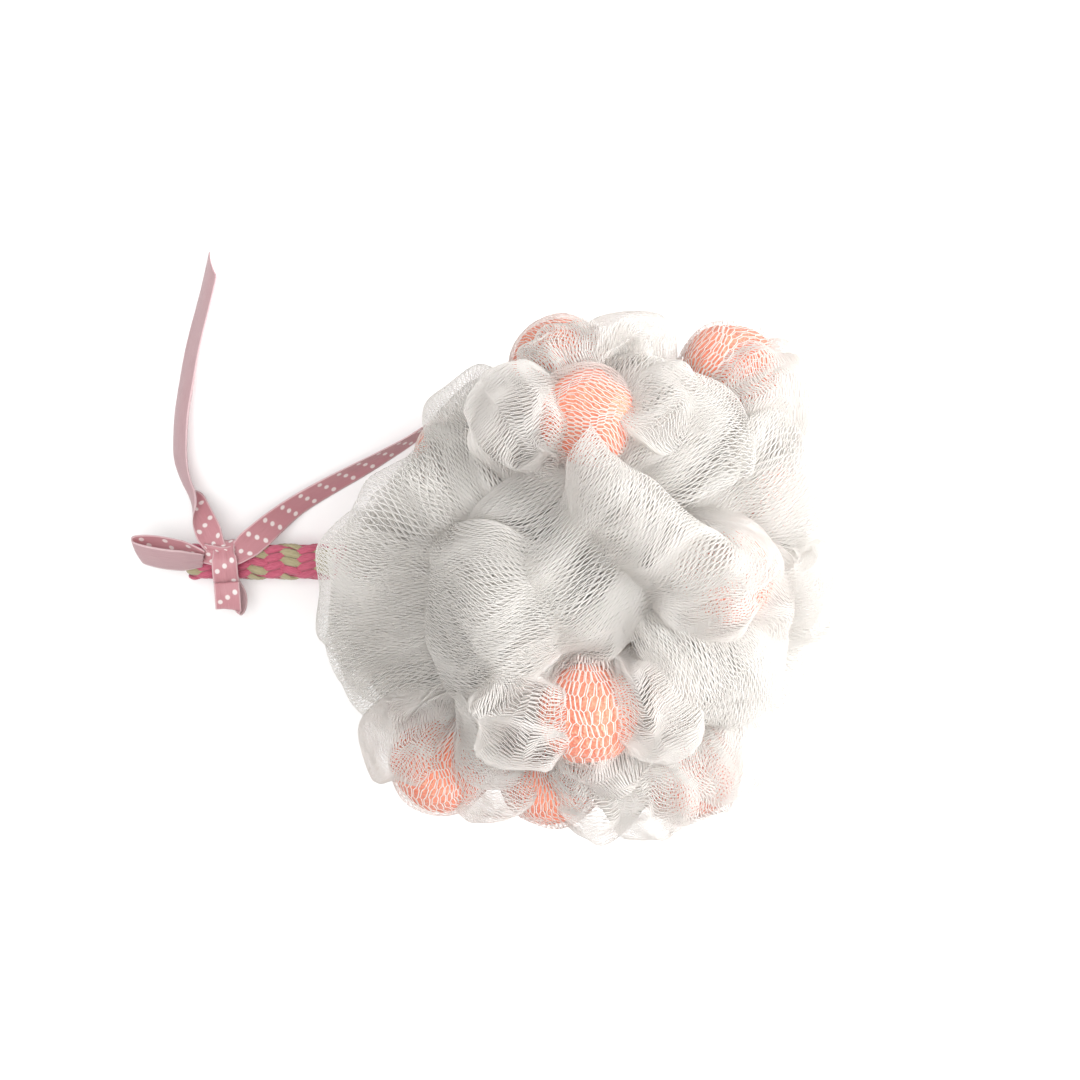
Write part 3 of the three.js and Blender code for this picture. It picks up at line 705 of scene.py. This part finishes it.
for hand in (1, -1):
    for yarn in range(YARNS_EACH_WAY):
        share = (yarn / YARNS_EACH_WAY + hand * turn_share) % 1
        psi = np.interp(share * girth[-1], girth, oval)
        rise = hand * np.cos(2 * YARNS_EACH_WAY * np.pi * turn_share)
        out = np.stack([np.cos(psi) / half_wide, np.sin(psi) / CORD_HALF_HIGH], axis=-1)
        out /= np.linalg.norm(out, axis=-1, keepdims=True)
        outward = out[:, :1] * level + out[:, 1:] * above
        aside = (half_wide * np.cos(psi))[:, None] * level
        up = (CORD_HALF_HIGH * np.sin(psi))[:, None] * above
        centre = cord_path + aside + up + outward * (YARN_RISE * rise)[:, None]
        beside = np.cross(outward, cord_along)
        plump = (0.84 + 0.2 * rise) * narrow**0.5
        parts.append(sweep(centre, beside, YARN_HALF_WIDTH * plump, YARN_HALF_HEIGHT, 8))
        olive = hand == 1 and yarn not in (3, 7)
        which.append(np.full(len(centre) * 8 - 8 + 2, int(olive)))
        side = np.tile(np.array([0, 0.13, 0.25, 0.38, 0.5, 0.38, 0.25, 0.13]), len(centre))
        run = np.repeat(np.arange(len(centre)) * CORD_STEP, 8)
        marks.append(np.stack([run, side + yarn + 8 * hand], axis=-1))
cord_points, cord_faces = join(parts)
cord = make_piece(
    "braided_cord",
    cord_points,
    cord_faces,
    [pink_yarn, olive_yarn],
    uv=np.concatenate(marks),
    uv_name="yarn",
    which=np.concatenate(which),
)
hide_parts("cord_root", "cord_loop")
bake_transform(cord)

# The ribbon: narrow satin, dotted on its face and plain behind, tied in a bow round both strands of the
# loop. Its tails and the left loop are pinched where they leave the knot, and its free ends are cut on the
# slant.
RIBBON_HALF = 3.2
RIBBON_THICK = 0.28
KNOT_X = -83.0


def satin_material(name, light, dark, dotted):
    """Woven satin: a soft sheen, fine lines along it, a painted highlight along both selvages and, on the
    face, rows of dots.
    """
    material, place, shader = new_material(name)
    mark = place.add("ShaderNodeUVMap", {"uv_map": "ribbon"})
    apart = place.add("ShaderNodeSeparateXYZ", sockets={0: mark})
    run = apart
    side = Socket(material.node_tree, apart.output.node.outputs[1])
    stretched = place.add("ShaderNodeVectorMath", {"operation": "MULTIPLY"}, {0: mark, 1: (0.25, 9.0, 1.0)})
    weave = stretched.noise(1.0, 3.0, 0.6)
    cloth = weave.clip(0.2, 0.8).blend(dark, light)
    # A painted highlight: both selvages are painted paler, standing in for the light their rounded edges
    # catch.
    edge = side.math("ABSOLUTE", side).clip(2.75, 2.95)
    cloth = (edge * 0.55).blend(cloth, (0.8, 0.6, 0.62, 1))
    if dotted:
        column = side.math("ROUND", side / 1.9)
        column = column.math("MINIMUM", column.math("MAXIMUM", column, -1.0), 1.0)
        off_side = side - column * 1.9
        off_run = (run.math("FRACT", (run + column * 1.2) / 5.3 + 40.0) - 0.5) * 5.3
        far = off_side.math("SQRT", off_side * off_side + off_run * off_run)
        dot = 1.0 - far.clip(0.44, 0.74)
        cloth = dot.blend(cloth, (0.84, 0.76, 0.75, 1))
    feed(
        shader,
        Base_Color=cloth,
        Roughness=weave * 0.2 + 0.32,
        Sheen_Weight=0.2,
        Normal=weave.bump(0.35, 0.0002),
    )
    return material


ribbon_face = satin_material("dotted_satin", (0.6, 0.285, 0.315, 1), (0.49, 0.21, 0.24, 1), True)
ribbon_back = satin_material("plain_satin", (0.52, 0.34, 0.36, 1), (0.43, 0.26, 0.28, 1), False)


def ribbon_strip(middle, across, half, cup, slant=0.0, pleats=0.0, skew=None, lag=0.0):
    """A thin closed strip along a route, face side up its over side. Points, faces, marks and sides.

    lag is how far along one edge turns ahead of the middle, and the other behind it.
    """
    along = np.gradient(middle, axis=0)
    step = np.linalg.norm(along, axis=-1)
    run = np.concatenate([[0], np.cumsum((step[1:] + step[:-1]) / 2)])
    along /= step[:, None]
    across = across - along * (across * along).sum(-1, keepdims=True)
    across /= np.linalg.norm(across, axis=-1, keepdims=True)
    over = np.cross(along, across)
    rows = len(middle)
    columns = 15
    v = np.linspace(-1, 1, columns)
    rise = np.asarray(cup)[..., None] * (v**2 - 0.33) * half[:, None]
    rise = rise + pleats * np.cos(8.5 * v) * (1 - half / RIBBON_HALF)[:, None]
    lean = slant * np.clip(1 - (run[-1] - run) / 7.0, 0, 1)[:, None] * half[:, None] * v
    row = np.clip(np.arange(rows)[:, None] + lag * v / step.mean(), 0, rows - 1.001)
    part = (row % 1)[..., None]
    row = row.astype(int)
    beside = across[row] * (1 - part) + across[row + 1] * part
    above = over[row] * (1 - part) + over[row + 1] * part
    flat = middle[:, None] + (half[:, None] * v)[..., None] * beside + lean[..., None] * along[:, None]
    if skew is not None:
        flat = flat + (half[:, None] * v)[..., None] * skew[:, None]
    points = []
    for side in (0.5, -0.5):
        points.append((flat + (rise + side * RIBBON_THICK)[..., None] * above).reshape(-1, 3))
    front = grid_faces(rows, columns)
    back = front[:, ::-1] + rows * columns
    rim = np.concatenate(
        [
            np.arange(0, columns - 1),
            columns - 1 + columns * np.arange(0, rows - 1),
            (rows - 1) * columns + np.arange(columns - 1, 0, -1),
            columns * np.arange(rows - 1, 0, -1),
        ]
    )
    turned = np.roll(rim, -1)
    border = np.stack([rim, rim + rows * columns, turned + rows * columns, turned], axis=-1)
    mark = np.empty((rows, columns, 2))
    mark[..., 0] = run[:, None]
    mark[..., 1] = v * RIBBON_HALF
    mark = np.concatenate([mark.reshape(-1, 2)] * 2)
    which = np.concatenate([np.zeros(len(front)), np.ones(len(back) + len(border))])
    return np.concatenate(points), [front, back, border], mark, which


def ribbon_piece(name, strips, body, node):
    """One piece of ribbon made of one or more strips."""
    points, faces = join([strip[:2] for strip in strips])
    made = make_piece(
        name,
        points,
        faces,
        [ribbon_face, ribbon_back],
        uv=np.concatenate([strip[2] for strip in strips]),
        uv_name="ribbon",
        which=np.concatenate([strip[3] for strip in strips]),
    )
    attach(made, body)
    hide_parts(node)
    return made


def pinched(run, length, both=False):
    """Half widths along a strip that opens out from the knot."""
    from_knot = np.minimum(run, length - run) if both else run
    return RIBBON_HALF * (0.6 + 0.4 * np.clip(from_knot / 5.0, 0, 1) ** 0.8)


# The knot: a turn of the same ribbon that grips both strands of the cord, a belt of crossed folds over it
# and the strap that ties it down.
BAND_HALF = 2.5
BELT_HALF = 2.3
STRAP_ROUTE = [
    (-83.5, 4.9, 9.7),
    (-83.4, 4.2, 11.6),
    (-83.2, 2.2, 13.3),
    (-83.0, 0.2, 13.9),
    (-82.9, -2.0, 13.5),
    (-82.8, -3.9, 12.3),
    (-82.7, -4.9, 11.0),
]
BELT_ROUTE = [
    (-80.4, 1.9, 10.4),
    (-81.0, 1.6, 12.0),
    (-82.6, 1.2, 12.9),
    (-84.6, 1.3, 12.9),
    (-86.6, 1.7, 12.5),
    (-87.9, 2.0, 11.6),
]


def band_route(right, low, high, corner):
    """Once round the cord, from the top and back to it."""
    corners = [
        (-right + corner, high - corner, 90),
        (-right + corner, low + corner, 180),
        (right - corner, low + corner, 270),
        (right - corner, high - corner, 360),
    ]
    route = [(KNOT_X, 0.4, high)]
    for y, z, start in corners:
        for a in np.radians(start + np.linspace(0, 90, 7)):
            route.append((KNOT_X, y + corner * math.cos(a), z + corner * math.sin(a)))
    return route + [(KNOT_X, -0.4, high)]


def level_strip(route, across, half, cup, pleats=0.0):
    """A strip whose width lies one way all along its route."""
    return ribbon_strip(route, np.tile(across, (len(route), 1)), half, cup, pleats=pleats)


band = smooth_path(band_route(4.8, 0.41, 9.95, 1.25), 0.5)[0]
band_strip = level_strip(band, (1.0, 0, 0), np.full(len(band), BAND_HALF), 0.0)
strap = smooth_path(STRAP_ROUTE, 0.4)[0]
strap_half = 3.0 - 0.5 * np.exp(-(((strap[:, 1] - 2.6) / 1.6) ** 2))
strap_strip = level_strip(strap, (1.0, 0.12, 0), strap_half, -0.06, pleats=1.2)
belt = smooth_path(BELT_ROUTE, 0.4)[0]
belt_strip = level_strip(belt, (0, -1.0, 0), np.full(len(belt), BELT_HALF), 0.1, pleats=0.8)
ribbon_piece("ribbon_knot", [band_strip, belt_strip, strap_strip], "loop", "bow_knot")

# The tails: the ribbon's two free ends. The upper one twists over to its plain back and is cut on the
# slant, and the right one turns on edge and slips under the ruffles.
# A row gives the middle's place from the knot and the roll of its width off the level, in degrees.
UPPER_TAIL = [
    (-1.4, 2.0, 12.3, 0),
    (-2.8, 4.4, 11.5, 0),
    (-4.6, 8, 10.0, 6),
    (-6.8, 11.6, 7.4, 32),
    (-8.9, 15.4, 5.2, 95),
    (-10.7, 19.8, 3.7, 121),
    (-11.6, 26.4, 3.1, 124),
    (-11.4, 34.8, 3.0, 126),
    (-10, 43.1, 3.0, 126),
    (-8.4, 50.9, 3, 125),
    (-6.3, 59.7, 3, 124),
    (-3.9, 70.4, 3, 124),
]
RIGHT_TAIL = [
    (1.8, 0.8, 12.4, 0),
    (4.2, 2.9, 11.4, 0),
    (7.6, 6, 9.4, 12),
    (11.5, 9.6, 6.6, 30),
    (16.3, 13.4, 4.2, 45),
    (23.1, 17.6, 3.2, 51),
    (30.1, 21.6, 3.1, 57),
    (37, 25.4, 3.3, 66),
    (42.9, 28.7, 3.4, 73),
    (48.8, 32.8, 3.5, 80),
]
# A row gives the tail's name, route and body, the slant of its cut end and how far one edge turns ahead.
TAILS = [
    ("upper", UPPER_TAIL, "upper_tail", -0.9, 4.5),
    ("right", RIGHT_TAIL, "right_tail", 0.7, 0.0),
]
for name, route, body, slant, lag in TAILS:
    path, length = smooth_path(route, 0.6)
    middle = path[:, :3] + (KNOT_X, 0, 0)
    along = np.gradient(middle, axis=0)
    along /= np.linalg.norm(along, axis=-1, keepdims=True)
    level = np.cross((0, 0, 1.0), along)
    level /= np.linalg.norm(level, axis=-1, keepdims=True)
    roll = np.radians(path[:, 3:])
    across = np.cos(roll) * level + np.sin(roll) * np.cross(along, level)
    run = np.linspace(0, length, len(middle))
    cup = 0.12 + 0.08 * np.sin(run / 5.0)
    strip = ribbon_strip(middle, across, pinched(run, length), cup, slant, 0.5, lag=lag)
    tail = ribbon_piece(f"ribbon_tail_{name}_satin", [strip], body, f"ribbon_tail_{name}")
    middle[0] * MM
    middle * MM

# The bow's loops: short lengths of the same ribbon. Each leaves the knot, folds back at its tip and returns
# beside itself to the knot that holds it, face outward.
LOOP_OUTLINE = [
    (0, -0.16),
    (0.3, -0.42),
    (0.68, -0.5),
    (0.94, -0.28),
    (1, 0.05),
    (0.93, 0.36),
    (0.62, 0.5),
    (0.3, 0.42),
    (0, 0.16),
]
# A row gives the loop's name and body, where it leaves the knot, the way it runs and the way it opens, its
# reach and gape, the shear of its tip, how far one layer strays aside and the side that its face is on.
LEFT_START = (-88.0, 0.7, 12.25)
LOWER_START = (-82.7, -4.6, 11.7)
BOW_LOOPS = [
    ("left", "left_bow", LEFT_START, (-0.985, 0.15, 0.08), (0, -0.7, 0.71), 15.9, 4.4, -0.47, 0.0, -1),
    ("lower", "lower_bow", LOWER_START, (0.04, -0.92, -0.38), (0.1, -0.38, 0.92), 6.8, 3.6, 0.18, -4.6, 1),
]
for name, body, start, outward, opening, reach, gape, shear, stray, face in BOW_LOOPS:
    outward = np.array(outward) / np.linalg.norm(outward)
    opening = np.array(opening) - outward * np.dot(opening, outward)
    opening /= np.linalg.norm(opening)
    broad = np.cross(outward, opening)
    outline = [
        np.array(start) + s * reach * outward + h * gape * opening - min(h, 0) * stray * s * broad
        for s, h in LOOP_OUTLINE
    ]
    middle, length = smooth_path(outline, 0.4)
    run = np.linspace(0, length, len(middle))
    gone = ((middle - np.array(start)) @ outward / reach).clip(0, 1)
    half = pinched(run, length, both=True) if name == "left" else np.full(len(middle), 3.0)
    skew = (shear * gone)[:, None] * outward * -face
    across = np.tile(face * broad, (len(middle), 1))
    strip = ribbon_strip(middle, across, half, 0.1, pleats=0.5, skew=skew)
    ribbon_piece(f"ribbon_loop_{name}_satin", [strip], body, f"bow_loop_{name}")

# The studio: a pale floor, a large soft key lamp from the right, a wide fill from overhead, and a camera
# looking straight down. Light is followed through many turns, as it crosses many layers of white strands.
floor_material, place, shader = new_material("floor_paper")
seen = place.add("ShaderNodeLightPath")
feed(
    shader,
    Base_Color=place.noise(40.0, 4.0).blend((0.8, 0.8, 0.8, 1), (0.82, 0.82, 0.82, 1)),
    Roughness=0.9,
    Emission_Color=seen.blend((0, 0, 0, 1), (0.18, 0.18, 0.18, 1)),
    Emission_Strength=1.0,
)
floor_points = [(-3000, -3000, 0), (3000, -3000, 0), (3000, 3000, 0), (-3000, 3000, 0)]
floor = make_piece("floor", floor_points, [np.array([[0, 1, 2, 3]])], [floor_material])


def lamp(name, place, aim, size, power):
    light = bpy.data.lights.new(name, "AREA")
    light.shape = "DISK"
    light.size = size
    light.energy = power
    made = bpy.data.objects.new(name, light)
    made.location = place
    bpy.context.scene.collection.objects.link(made)
    made.rotation_euler = (Vector(aim) - made.location).to_track_quat("-Z", "Y").to_euler()
    return made


key = lamp("key", (0.75, 0.1, 0.55), (0, 0, 0.05), 0.5, 13.0)
fill = lamp("fill", (-0.2, -0.1, 1.3), (0, 0, 0.05), 0.9, 11.5)
world = bpy.data.worlds.new("room")
world.use_nodes = True
world.node_tree.nodes["Background"].inputs[0].default_value = (1, 0.985, 0.965, 1)
world.node_tree.nodes["Background"].inputs[1].default_value = 0.62
bpy.context.scene.world = world
bpy.context.scene.view_settings.view_transform = "Standard"
bpy.context.scene.cycles.max_bounces = 32
bpy.context.scene.cycles.diffuse_bounces = 32
bpy.context.scene.cycles.transmission_bounces = 32
camera = bpy.data.objects.new("camera", bpy.data.cameras.new("camera"))
camera.data.lens = 120.1
camera.data.sensor_width = 36
camera.location = (-0.0093, 0.0051, 0.855)
bpy.context.scene.collection.objects.link(camera)
bpy.context.scene.camera = camera
